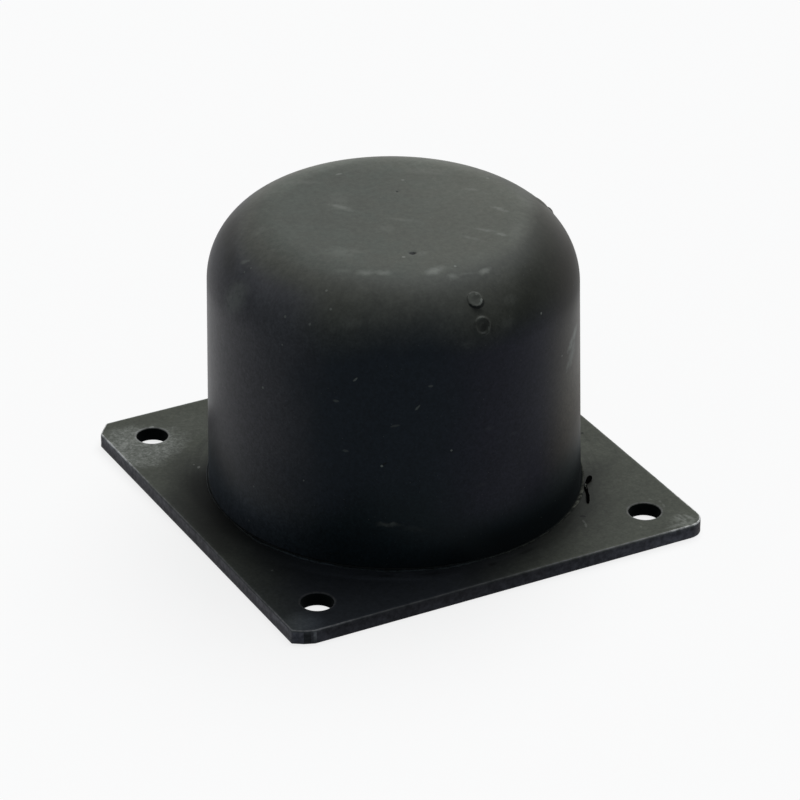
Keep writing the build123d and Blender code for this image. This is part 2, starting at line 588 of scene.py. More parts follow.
def plate_outline(s):
    """Outline of the plate as points in turn, with eased corners."""
    half = s.side / 2
    cut_x, cut_y = CORNER_CUT
    ends = [((half, -half), ROUND_CORNER), ((half, half - cut_y), EASED), ((half - cut_x, half), EASED)]
    ends += [((cut_x - half, half), EASED), ((-half, half - cut_y), EASED)]
    ends += [((px * MM - half, py * MM - half), BARELY_EASED) for px, py in UNEVEN_CUT]
    ends = ends[-1:] + ends[:-1]
    points = []
    for i, (corner, ease) in enumerate(ends):
        here = Vector(corner)
        before = (Vector(ends[i - 1][0]) - here).normalized()
        after = (Vector(ends[(i + 1) % len(ends)][0]) - here).normalized()
        half_angle = before.angle(after) / 2
        reach = ease / math.tan(half_angle)
        centre = here + (before + after).normalized() * (ease / math.sin(half_angle))
        start, end = here + before * reach - centre, here + after * reach - centre
        turn = math.atan2(start.x * end.y - start.y * end.x, start.dot(end))
        steps = 5 + round(ease / MM)
        for k in range(steps + 1):
            c, n = math.cos(turn * k / steps), math.sin(turn * k / steps)
            points.append((centre.x + start.x * c - start.y * n, centre.y + start.x * n + start.y * c))
    dense = []
    for i, a in enumerate(points):
        b = points[(i + 1) % len(points)]
        gap = math.dist(a, b)
        steps = max(1, round(gap / OUTLINE_STEP))
        dense += [(a[0] + (b[0] - a[0]) * k / steps, a[1] + (b[1] - a[1]) * k / steps) for k in range(steps)]
    return np.array(dense)


def outward(points):
    """Unit normals of a closed outline that runs anticlockwise."""
    along = np.roll(points, -1, axis=0) - np.roll(points, 1, axis=0)
    along /= np.linalg.norm(along, axis=1)[:, None]
    return np.stack([along[:, 1], -along[:, 0]], axis=1)


def join_rings(bm, rings):
    """Quads between rings of vertices."""
    for low, high in zip(rings, rings[1:]):
        n = len(low)
        for i in range(n):
            j = (i + 1) % n
            bm.faces.new((low[i], low[j], high[j], high[i]))


def ring_edges(bm, ring):
    """The edges of a closed ring."""
    return [bm.edges.get((a, b)) or bm.edges.new((a, b)) for a, b in zip(ring, ring[1:] + ring[:1])]


def make_plate_mesh(s):
    """Plate with rounded and slightly nicked arrises, rough cut edges and four holes."""
    bm = bmesh.new()
    t = s.thickness
    arris = s.arris
    outline = plate_outline(s)
    normals = outward(outline)
    rim = bm.verts.layers.float.new("rim")
    # each step of the edge: inset, height, and the share of worn colour and painted highlight on the arris
    section = [(1.1 * arris, 0.0, 0.0), (0.5 * arris, 0.0, 0.2), (0.12 * arris, 0.12 * arris, 0.4)]
    section += [(0.0, 0.5 * arris, 0.2)] + [(0.0, t * k, 0.0) for k in (0.25, 0.4, 0.55, 0.7)]
    section += [(0.02 * arris, t - arris, 0.2), (0.12 * arris, t - 0.5 * arris, 0.8)]
    section += [(0.42 * arris, t - 0.14 * arris, 1.0), (arris, t, 0.6), (1.1 * arris, t, 0.0)]
    rings = []
    for inset, z, wear_and_highlight in section:
        ring = []
        side = 1.0 if 0.1 * t < z < t - 0.3 * arris else 0.35
        for (x, y), (nx, ny) in zip(outline, normals):
            rough = 0.05 * soft_noise(x, y, z * 0.6, 1.7 * MM) + 0.05 * soft_noise(x, y, z * 0.2, 6 * MM)
            push = -inset + (rough - 0.065) * MM * side
            ring.append(bm.verts.new((x + nx * push, y + ny * push, z)))
            ring[-1][rim] = wear_and_highlight
        rings.append(ring)
    join_rings(bm, rings)
    bottom_edges, top_edges = ring_edges(bm, rings[0]), ring_edges(bm, rings[-1])
    hole_section = [*HOLE_FOOT, *((flare, t / MM - down) for flare, down in HOLE_TOP)]
    for sx in (-1, 1):
        for sy in (-1, 1):
            cx, cy = sx * s.hole_spacing / 2, sy * s.hole_spacing / 2
            hole_rings = []
            for flare, z in hole_section:
                r = s.hole_radius + (flare - 0.05) * MM
                turns = [TURN * k / HOLE_STEPS for k in range(HOLE_STEPS)]
                places = [(cx + r * math.cos(-a), cy + r * math.sin(-a), z * MM) for a in turns]
                hole_rings.append([bm.verts.new(p) for p in places])
                for vert in hole_rings[-1]:
                    vert[rim] = 0.35 if t / MM - 0.2 < z and flare < 0.5 else 0.0
            join_rings(bm, hole_rings)
            bottom_edges += ring_edges(bm, hole_rings[0])
            top_edges += ring_edges(bm, hole_rings[-1])
    bmesh.ops.triangle_fill(bm, use_beauty=True, use_dissolve=False, edges=bottom_edges)
    bmesh.ops.triangle_fill(bm, use_beauty=True, use_dissolve=False, edges=top_edges)
    bmesh.ops.recalc_face_normals(bm, faces=bm.faces)
    mesh = bpy.data.meshes.new("coated_steel_plate")
    bm.to_mesh(mesh)
    bm.free()
    mesh.shade_smooth()
    return mesh


def make_plate():
    """The plate with its material, riding on the part."""
    s = bpy.context.scene.bump_stop_plate
    mesh = make_plate_mesh(s)
    mesh.materials.append(steel_material(s))
    piece = link_object("coated_steel_plate", mesh)
    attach(piece, "root")
    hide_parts("base_plate")


# ---------------------------------------------------------------- finishes


def new_material(name):
    """An empty material with its shader, its tree, the object coordinates, and their parts in millimetres."""
    material = bpy.data.materials.new(name)
    material.use_nodes = True
    tree = material.node_tree
    shader = tree.nodes["Principled BSDF"]
    where = add_node(tree, "ShaderNodeTexCoord").outputs["Object"]
    split = add_node(tree, "ShaderNodeSeparateXYZ", {0: where})
    return material, tree, shader, where, [Formula(split.outputs[k]) / MM for k in "XYZ"]


def mottle(where, scale, detail=3.0):
    """Noise around one half."""
    inputs = {"Vector": where, "Scale": scale, "Detail": detail, "Roughness": 0.55}
    return Formula(add_node(where.id_data, "ShaderNodeTexNoise", inputs).outputs["Fac"])


def read_attribute(tree, name):
    """A value that the mesh keeps on its points under a name."""
    return Formula(add_node(tree, "ShaderNodeAttribute", attribute_name=name).outputs["Fac"])


def blend(share, first, second):
    """One colour going over into another by a share between nought and one."""
    node = add_node(share.tree, "ShaderNodeMix", data_type="RGBA", clamp_factor=True)
    feed(share.tree, node.inputs[0], share)
    for place, colour in ((6, first), (7, second)):
        made_here = not isinstance(colour, bpy.types.NodeSocket)
        feed(share.tree, node.inputs[place], (*colour, 1.0) if made_here else colour)
    return node.outputs[2]


def dimmed(colour, factor):
    """A colour times a number."""
    inputs = {0: colour, "Scale": factor}
    return add_node(factor.tree, "ShaderNodeVectorMath", inputs, operation="SCALE").outputs[0]


def shifted(where, shift):
    """Places moved by a vector."""
    return add_node(where.id_data, "ShaderNodeVectorMath", {0: where, 1: shift}, operation="ADD").outputs[0]


def ragged(where, scale, reach):
    """Places shifted about by noise, so that spots laid on them get uneven edges."""
    tree = where.id_data
    node = add_node(tree, "ShaderNodeTexNoise", {"Vector": where, "Scale": scale, "Detail": 4.0})
    centred = {0: node.outputs["Color"], 1: (0.5, 0.5, 0.5)}
    shift = add_node(tree, "ShaderNodeVectorMath", centred, operation="SUBTRACT").outputs[0]
    scaled = add_node(tree, "ShaderNodeVectorMath", {0: shift, "Scale": reach}, operation="SCALE").outputs[0]
    return shifted(where, scaled)


def long_spot(where, start, end, width, normal):
    """How far a place is from the middle of a long spot on a face, as a share of the way to its edge."""
    along = end - start
    along -= normal * along.dot(normal)
    size = Vector((along.length + width, width, SPOT_DEPTH))
    along = along.normalized() if along.length > 0.01 * MM else normal.orthogonal().normalized()
    turn = Matrix((along, normal.cross(along), normal)).transposed().to_euler()
    inputs = {"Vector": where, "Location": (start + end) / 2, "Rotation": turn, "Scale": size / 2}
    place = add_node(where.id_data, "ShaderNodeMapping", inputs, vector_type="TEXTURE")
    reach = add_node(where.id_data, "ShaderNodeVectorMath", {0: place.outputs[0]}, operation="LENGTH")
    return Formula(reach.outputs["Value"])


def spot_ends(places, level):
    """Both ends of a spot from two places, or from one if it is round; without a height they are on a level."""
    size = 3 if len(places) % 3 == 0 else 2
    return [Vector((*end, level / MM)[:3]) * MM for end in (places[:size], places[-size:])]


def spots(where, table, level, facing, full=SOFT):
    """The strongest of many spots. Each row holds a spot's places and width in millimetres and its strength,
    which is reached at the given share of the way out from its middle."""
    strongest = None
    for row, (*places, width, strength) in enumerate(table):
        if row % SPOT_BATCH == SPOT_BATCH - 1:
            # a batch waits for the one before it, so that few values are in use at once
            where = shifted(where, (strongest * 1e-9).socket)
        start, end = spot_ends(places, level)
        reach = long_spot(where, start, end, width * MM, facing((start + end) / 2))
        share = reach.over(1.0, full, 0.0, strength)
        strongest = share if strongest is None else strongest.most(share)
    return strongest


def finish_surface(shader, grain, strength, distance):
    """Bump from a height."""
    bump = add_node(grain.tree, "ShaderNodeBump", {"Height": grain, "Strength": strength, "Distance": distance})
    grain.tree.links.new(bump.outputs[0], shader.inputs["Normal"])


def view_axes(x, y):
    """A place in units of 50 mm: to the right as the camera sees it, and towards the camera."""
    c, n = math.cos(VIEW_ANGLE), math.sin(VIEW_ANGLE)
    return (x * c + y * n) / 50, (x * n - y * c) / 50


# direction to the right as the camera sees it, along which painted light and shade and the bloom change
VIEW_ANGLE = math.radians(-28.7)
# soft pale rubs on the rubber, and a painted highlight along the far rim: both ends or one place, width in
# millimetres and strength;
# places without a height are on the striking face
RUBS_AND_HIGHLIGHTS = (
    (-30.3, -21.5, 83.1, -26.8, -24.3, 83.4, 3.5, 0.13),
    (-24.9, -25.7, 83.5, -22.0, -27.5, 83.55, 3.6, 0.42),
    (-20.7, -28.2, 83.6, -18.2, -29.7, 83.6, 3.2, 0.42),
    (-25.5, -25.2, 83.4, -17.0, -30.5, 83.6, 2.2, 0.2),
    (-9.0, 16.5, -12.5, 9.5, 10.0, 0.12),
    (-14.2, 13.4, -9.7, 5.8, 3.4, 0.42),
    (-26.6, -12.8, -22.4, -17.0, 5.0, 0.18),
    (-28.8, -42.2, 17.8, -22.6, -45.8, 17.3, 1.9, 0.26),
    (-26.0, -43.9, 17.7, -24.3, -44.9, 17.6, 1.7, 0.34),
    (-22.9, -45.6, 17.0, -16.5, -48.3, 15.2, 2.4, 0.05),
    (-6.0, -24.5, -5.0, -24.6, 3.9, 0.23),
    (-4.7, -1.7, 4.0, -9.3, 2.3, 0.18),
    (23.9, -8.6, 26.5, -14.0, 2.3, 0.45),
    (22.4, 4.1, 26.2, 1.2, 2.1, 0.23),
    (14.0, 21.0, 24.0, 15.0, 6.0, 0.16),
    (13.2, -17.4, 18.0, -23.5, 2.3, 0.38),
    (17.5, -23.5, 19.1, -25.6, 1.8, 0.54),
    (7.9, -19.1, 12.4, -26.7, 2.1, 0.23),
    (-8.0, -7.2, -7.0, -7.6, 7.0, 0.11),
    (-28.0, -11.0, -18.0, -17.0, 4.9, 0.18),
    (-20.0, 31.0, -9.0, 25.0, 3.5, 0.18),
    (-38.0, 8.2, 82.6, -35.0, 9.0, 83.4, 5.2, 0.14),
    (-48.6, -4.0, 73.5, -50.4, -1.5, 69.0, 12.0, 0.42),
    (19.6, -28.1, 83.5, 27.0, -20.0, 83.0, 6.0, 0.14),
    (-9.6, -34.3, 83.3, -4.8, -33.9, 83.7, 3.9, 0.65),
    (-4.6, -37.4, 82.6, -3.2, -37.8, 82.6, 2.8, 0.45),
    (3.8, -38.5, 82.2, 7.1, -37.6, 82.3, 2.6, 0.59),
    (-3.0, -37.3, 82.7, 3.5, -38.3, 82.3, 1.4, 0.18),
    (8.0, -45.4, 76.2, 10.8, -44.7, 76.2, 3.9, 0.13),
    (5.0, -48.3, 71.4, 8.0, -48.0, 71.4, 3.9, 0.11),
    (-34.0, -33.5, 74.7, -31.0, -36.3, 74.7, 4.2, 0.13),
    (-7.0, -49.2, 68.6, -4.0, -49.5, 68.6, 3.5, 0.09),
    (-45.0, 2.1, 78.6, -44.0, 0.2, 79.4, 1.8, 0.32),
    (-1.0, -50.3, 42.7, 2.0, -50.4, 42.7, 2.0, 0.05),
    (7.0, -49.9, 38.8, 10.0, -49.5, 38.8, 2.0, 0.05),
    (-3.0, -50.7, 26.6, 0.0, -50.8, 26.6, 2.0, 0.04),
    (10.0, -49.6, 24.9, 13.0, -49.0, 24.9, 2.0, 0.04),
    (25.8, -43.0, 43.5, 28.4, -41.4, 43.5, 2.0, 0.05),
    (36.4, -33.8, 55.8, 33.6, -36.7, 54.6, 4.8, 0.85),
    (33.8, -36.5, 54.6, 31.1, -38.9, 53.0, 4.0, 0.85),
    (34.4, -36.0, 52.6, 32.3, -38.0, 49.0, 7.0, 0.6),
    (31.7, -38.6, 49.4, 30.4, -39.6, 47.8, 3.2, 0.45),
    # painted highlight along the far rim
    (37.85, 0.94, 82.1, 33.5, -14.7, 82.7, 8.0, 0.22),
    (-49.8, -1.1, 71.0, 9.0, 0.06),
)
# crisp pale specks and nicks on the rubber, and painted highlights on the rim of the stub and the lip of the vent,
# in the same terms
SPECKS_AND_GLINTS = (
    (-11.0, -24.2, 1.2, 0.6),
    (-3.4, 27.6, -2.2, 27.6, 1.2, 0.45),
    (10.8, 16.3, 1.1, 0.5),
    (31.9, 7.2, 83.7, 1.1, 0.5),
    (-1.3, -34.4, 83.6, 0.9, 0.6),
    (-34.3, -25.5, 80.3, 0.9, 0.5),
    (-35.3, -29.7, 77.1, 0.9, 0.5),
    (-44.1, -21.1, 73.1, 0.9, 0.5),
    (-40.3, -27.6, 73.0, 0.9, 0.5),
    (18.6, -45.2, 70.0, 0.8, 0.8),
    (-44.6, -2.5, 78.9, 0.8, 0.3),
    (-46.0, -1.5, 77.5, 0.8, 0.3),
    (-33.2, -38.3, 59.6, -32.4, -38.9, 60.6, 0.7, 0.5),
    (-37.0, -34.7, 53.1, -36.2, -35.5, 53.1, 1.0, 0.25),
    (-19.4, -46.6, 51.6, -18.4, -47.0, 52.9, 0.8, 0.4),
    (-16.0, -47.8, 58.3, -15.3, -48.0, 58.3, 0.9, 0.3),
    (-25.2, -43.9, 46.8, -23.2, -45.0, 47.3, 0.9, 0.18),
    (-27.2, -42.9, 35.1, 0.9, 0.9),
    (-35.2, -36.6, 38.7, -34.4, -37.4, 38.7, 1.0, 0.2),
    (-42.6, -28.1, 27.3, 0.7, 0.45),
    (-49.6, -12.5, 19.4, 0.7, 0.45),
    (-50.1, -10.5, 8.0, 0.7, 0.45),
    (-48.3, -16.1, 50.8, 0.9, 0.8),
    (-45.6, -22.2, 65.7, 0.7, 0.5),
    (-49.1, 13.4, 60.5, 0.7, 0.5),
    (-10.2, -49.6, 38.6, 0.8, 0.7),
    (27.5, -41.6, 53.4, 0.8, 0.6),
    # face of the stub, and painted highlights along its rim
    (-1.58, -43.50, 79.82, -1.39, -43.81, 79.51, 1.3, 0.25),
    (-0.15, -43.66, 79.66, -0.19, -43.77, 79.55, 0.9, 0.5),
    (0.53, -45.01, 78.31, 0.30, -45.49, 77.83, 1.0, 0.95),
    (0.25, -45.54, 77.78, -0.47, -45.88, 77.44, 0.9, 0.6),
    (-2.23, -45.03, 78.29, -1.52, -45.46, 77.86, 1.1, 0.25),
    (-1.61, -45.63, 77.69, -0.57, -45.90, 77.42, 0.8, 0.35),
    (0.43, -44.39, 78.93, 0.52, -44.76, 78.55, 0.8, 0.15),
    # painted highlights along the lip of the vent
    (-2.42, -47.91, 74.14, -1.79, -47.73, 74.55, 0.8, 0.12),
    (-1.55, -47.71, 74.60, -0.77, -47.64, 74.75, 0.9, 0.30),
    (-0.77, -47.64, 74.75, 0.09, -47.71, 74.60, 0.8, 0.2),
    (0.87, -48.88, 71.98, 0.65, -49.18, 71.30, 0.8, 0.25),
)
# dark nicks, and painted shade in the pits of the striking face, round the stub and in the vent, in the same terms
NICKS_AND_SHADOWS = (
    (-8.1, -23.0, -7.4, -23.3, 1.9, 0.95),
    (6.1, 10.9, 0.9, 0.9),
    (-27.0, -43.0, 35.4, -26.3, -43.5, 36.0, 0.7, 0.9),
    (1.85, -48.4, 72.3, 1.4, -49.05, 70.3, 0.9, 0.45),
    (-0.2, -48.2, 72.4, -0.9, -48.6, 71.4, 2.0, 0.5),
    (-1.43, -44.32, 79.0, -0.01, -44.44, 78.88, 1.5, 0.35),
    (-2.80, -44.90, 77.61, -2.39, -45.35, 77.14, 0.9, 0.9),
    (-2.32, -45.43, 77.05, -1.35, -45.72, 76.71, 1.1, 0.95),
    (-1.35, -45.72, 76.71, 0.09, -45.80, 76.57, 1.1, 0.95),
    (0.26, -45.76, 76.63, 1.00, -45.33, 77.13, 1.0, 0.8),
    (1.05, -45.29, 77.16, 1.35, -44.78, 77.72, 0.8, 0.6),
    (-2.87, -43.94, 78.61, -2.79, -44.55, 78.01, 0.9, 0.3),
    (0.74, -47.99, 73.96, 1.19, -48.50, 72.83, 0.9, 0.55),
)
# soft dark places on the rubber, painted shade, among them the shadow below the stub, in the same terms
SHADED = (
    (-45.3, 1.2, 78.3, -45.3, -2.2, 78.0, 2.6, 0.25),
    (-37.35, 23.84, 79.11, -44.2, 11.25, 77.97, 9.0, 0.38),
    (-44.2, 11.25, 77.97, -46.79, 4.31, 76.37, 9.0, 0.38),
    (-51.0, -1.0, 26.0, -51.0, -1.5, 15.0, 9.0, 0.3),
    (-2.57, -45.79, 76.57, 0.08, -46.36, 75.85, 3.4, 0.5),
    (-41.1, -29.6, 66.0, -41.2, -29.8, 63.0, 7.0, 0.22),
    (32.2, -37.6, 64.0, 32.3, -37.9, 59.0, 7.0, 0.22),
)


# painted highlights on the edges of the torn film, in the same terms
TORN_GLINTS = (
    (42.9, -30.6, 4.6, 42.7, -31.0, 4.6, 0.45, 0.7),
    (42.2, -31.7, 4.8, 42.1, -32.0, 4.8, 0.45, 0.6),
    (41.8, -32.9, 4.8, 0.4, 0.4),
)


def facing_of_rubber(s):
    """A function that gives the way the rubber faces at a spot on it."""
    ring, ring_height = arc_centre(s)

    def facing(spot):
        flat = Vector((spot.x + s.lean * (spot.z - s.base_height), spot.y, 0.0))
        out = max(0.0, flat.length - ring)
        rise = max(0.0, spot.z - ring_height)
        return (flat.normalized() * out + Vector((0.0, 0.0, rise))).normalized()

    return facing


def torn_film_painted_shade(s):
    """Rubber of the torn film, painted near black and matt as the shade of the tear, with painted highlights on its
    edges.
    """
    material, tree, shader, where, _ = new_material("torn_rubber_in_painted_shade")
    grit = mottle(where, 1400.0)
    # near black, as painted shade
    colour = blend(grit.over(0.6, 0.75), (0.001, 0.001, 0.001), (0.012, 0.012, 0.011))
    colour = blend(spots(where, TORN_GLINTS, s.base_height, facing_up, CRISP), colour, (0.16, 0.17, 0.15))
    tree.links.new(colour, shader.inputs["Base Color"])
    shader.inputs["Specular IOR Level"].default_value = 0.0
    shader.inputs["Roughness"].default_value = 0.9
    return material


def rubber_material(s):
    """Moulded black rubber: dark wall with cloudy bloom, grey top, pale scuffs and dust, with painted shade near the
    foot, on the stub and in pits and vent, and painted highlights near the rims, on the film and on the stub and
    vent.
    """
    material, tree, shader, where, (x, y, z) = new_material("moulded_rubber")
    clouds = mottle(where, 45.0, detail=4.0)
    patches = mottle(where, 150.0)
    grit = mottle(where, 620.0)
    fine = mottle(where, 1500.0, detail=2.0)
    across, ahead = view_axes(x, y)
    cloudy = across + (clouds - 0.5) * 0.3 + (patches - 0.5) * 0.1

    # the wall: darker near the foot as painted shade, paler on one side, with a band of its own on the other
    lifted = z + across.over(-0.12, -0.35) * across.over(-0.7, -0.5) * 9
    wall = blend(lifted.over(20, 34), (0.0068, 0.0110, 0.0135), s.wall_colour)
    pale_side = blend(z.over(9, 22), (0.072, 0.081, 0.099), s.haze_colour)
    haze = cloudy.over(-0.30, -0.80) * z.over(14, 40, 0.42, 1.0) * z.over(66, 79, 1.0, 0.22)
    wall = blend(haze, wall, pale_side)
    far_side = cloudy.over(0.1, 0.55) * z.over(9, 24) * z.over(76, 64)
    wall = blend(far_side, wall, (0.0185, 0.0178, 0.0265))
    wall = blend(z.over(64, 74) * across.over(0.2, 0.5), wall, (0.018, 0.019, 0.015))
    # painted reflection near the right edge of the view: cool low down, warm above with a brighter band, dark high
    # up
    painted_right_rim = blend(z.over(28, 16), (0.033, 0.028, 0.021), (0.014, 0.018, 0.019))
    painted_right_rim = blend(z.over(56, 66), painted_right_rim, (0.010, 0.008, 0.005))
    warm_rim_glint = z.over(52, 44) * z.over(28, 36) * across.over(0.82, 0.93)
    painted_right_rim = blend(warm_rim_glint, painted_right_rim, (0.053, 0.046, 0.035))
    wall = blend(across.over(0.74, 0.95), wall, painted_right_rim)
    # painted shade low on the right, close to the foot
    low_right_shade = across.over(0.1, 0.5) * z.over(20, 8)
    wall = blend(low_right_shade, wall, (0.001, 0.002, 0.0025))

    # bloom that comes down over the shoulder, partly painted light: how far down it reaches and how grey it is
    # change across the view
    wander = across.over(-0.05, -0.45) * 4.5 - across.over(-0.62, -0.92) * 9.0 + across.over(0.15, 0.45) * 2.6
    wander = wander - across.over(0.5, 0.8) * ahead.over(-0.4, 0.2, 5.0, 12.0)
    wander = wander + (clouds - 0.5) * 6.0 + (patches - 0.5) * 3.0
    bloom = (z + wander).over(66, 83)
    cool = across.over(-0.3, -0.6) * z.over(82, 77)
    grey = blend(cool, (0.069, 0.071, 0.062), (0.069, 0.069, 0.075))
    warm = across.over(0.65, 0.92).most(across.over(-0.80, -0.93))
    grey = blend(warm, grey, (0.066, 0.061, 0.047))
    greyed = across.over(0.1, 0.85, 1.0, 0.44) + across.over(0.4, 0.8) * z.over(77, 81.5) * 0.17
    colour = blend(bloom * greyed, wall, grey)
    # the striking face: grey bloom with painted light, lighter towards the right of the view
    face = blend(cloudy.over(-0.6, 0.6), s.bloom_and_light_colour, (0.080, 0.083, 0.070))
    face = blend(patches.over(0.42, 0.6) * cloudy.over(0.4, -0.2, 0.2, 0.8), face, (0.064, 0.071, 0.061))
    colour = blend(z.over(82.2, 83.9), colour, face)
    # fine grain and broad random shades, then painted light: brighter along the far rim and over the far parts of
    # the striking face
    grainy = z.over(80, 66)
    grainy = grainy + across.over(0.0, -0.4) * z.over(45, 20) * 0.7
    shade = ((fine - 0.5) * (grainy * 0.7 + 0.4) + 1.0) * ((grit - 0.5) * (grainy * 0.3 + 0.6) + 1.0)
    shade = shade * (patches * 0.3 + 0.85) * (ahead.over(-0.42, -0.65) * z.over(78, 83) * 0.32 + 1.0)
    shade = shade * (cloudy.over(-0.1, 0.4) * ahead.over(0.15, -0.3) * 0.17 + 1.0)
    far_left_light = across.over(-0.15, -0.4) * ahead.over(-0.1, -0.3) * length_of(x, y).over(30, 33)
    shade = shade * (far_left_light * z.over(80, 82.5) * 0.32 + 1.0)
    colour = dimmed(colour, shade)

    # the film round the foot: painted shade on it against the wall and where its highlight is weak, and a painted
    # highlight along its outer edge
    above_plate = z - s.base_height / MM
    film = above_plate.over(0.25, 0.5, 1.0, 0.0)
    highlight = read_attribute(tree, "film_highlight")
    lit_film = blend(across.over(0.3, 0.7), (0.048, 0.062, 0.072), (0.080, 0.083, 0.070))
    outer_film = length_of(x, y).over(51.4, 52.0)
    film_light_and_shade = blend(highlight * outer_film * grit.over(0.35, 0.6, 0.15, 1.0), (0.003, 0.004, 0.004), lit_film)
    colour = blend(film, colour, film_light_and_shade)
    # painted shadow on the stub's side, nicks, and painted shade in pits, round the stub and vent and in soft
    # places; then rubs, specks, painted highlights and dust
    facing = facing_of_rubber(s)
    disc = read_attribute(tree, "stub_face")
    whole = y.over(-30, -34)
    # the front stub's side, darkened as its painted shadow
    side = (disc * (1.0 - disc) * 4.0).over(0.3, 0.8) * whole
    side = side * (z.over(78.3, 77.7) * 0.9 + z.over(78.6, 79.2) * 0.4)
    crisp_where = ragged(where, 1500.0, 0.3 * MM)
    dark = spots(crisp_where, NICKS_AND_SHADOWS, s.top_height, facing, CRISP).most(side)
    soft_where = ragged(ragged(where, 420.0, 1.6 * MM), 1500.0, 0.7 * MM)
    dark = dark.most(spots(soft_where, SHADED, s.top_height, facing))
    colour = blend(dark, colour, (0.002, 0.002, 0.002))
    smears_and_highlights = spots(soft_where, RUBS_AND_HIGHLIGHTS, s.top_height, facing)
    smears_and_highlights = smears_and_highlights * grit.over(0.25, 0.55, 0.55, 1.0)
    dust = mottle(where, 2100.0, detail=0.0).over(0.82, 0.88) * 0.2
    pale = spots(crisp_where, SPECKS_AND_GLINTS, s.top_height, facing, CRISP).most(smears_and_highlights).most(dust)
    pale = pale.most(disc.over(0.8, 1.0) * whole * patches.over(0.3, 0.6, 0.03, 0.18))
    colour = blend(pale, colour, s.scuff_colour)
    tree.links.new(colour, shader.inputs["Base Color"])

    # roughness
    rough = bloom * 0.10 + 0.38 + across.over(0.6, 0.9) * z.over(50, 30) * 0.12
    rough = rough + across.over(0.3, 0.6) * z.over(18, 8) * 0.5
    rough = rough + across.over(0.78, 0.95) * z.over(60, 67) * z.over(80, 74) * 0.08
    rough = rough + across.over(-0.80, -0.95) * z.over(60, 67) * 0.06
    tree.links.new(rough.socket, shader.inputs["Roughness"])
    shader.inputs["Specular IOR Level"].default_value = 0.075
    shader.inputs["Specular Tint"].default_value = (0.80, 0.93, 1.0, 1.0)
    grain = fine * 0.5 + mottle(where, 300.0) * 0.5
    finish_surface(shader, grain, 0.25, 0.05 * MM)
    return material


# pale and dark marks on the plate: both ends or one place, width in millimetres and strength
PLATE_RUBBED = (
    (-53.3, -30.5, 0.9, 0.18),
    (-46.1, 28.2, -46.6, 27.6, 1.0, 0.35),
    (-46.9, 29.8, 0.8, 0.25),
    (-48.6, 54.6, -47.6, 54.4, 1.0, 0.5),
    (32.7, -46.2, 32.5, -48.0, 0.8, 0.10),
    (32.5, -48.0, 31.7, -49.9, 0.9, 0.12),
    (55.4, -55.8, 57.2, -60.5, 1.1, 0.18),
    (57.2, -55.5, 57.4, -59.5, 1.0, 0.18),
    (50.0, -60.6, 57.5, -60.4, 1.6, 0.14),
    (58.6, -57.0, 59.4, -59.6, 1.4, 0.2),
    (-61.0, 47.0, -58.0, 50.0, 2.5, 0.25),
    (56.5, -47.2, 56.4, -47.8, 0.9, 0.12),
    (56.4, -49.0, 55.9, -50.6, 0.9, 0.12),
    (54.5, -44.9, 54.9, -45.4, 0.8, 0.15),
    (44.8, -56.5, 44.7, -56.8, 0.8, 0.12),
)
PLATE_NICKED = (
    (33.3, -44.2, 34.2, -44.8, 1.2, 0.95),
    (57.1, -4.8, 1.1, 0.9),
    (-1.0, -55.0, 0.5, -54.8, 1.8, 0.7),
    (9.0, -53.8, 13.0, -53.0, 1.6, 0.6),
    (-30.0, -46.0, -26.0, -48.2, 1.5, 0.5),
    (-20.0, -50.8, -14.0, -52.6, 1.5, 0.5),
)
# direction in which the painted shade beside the foot is darkest
SHADE_ROUND = math.radians(172.0)


def facing_up(_):
    """Flat faces turned up."""
    return Vector((0.0, 0.0, 1.0))


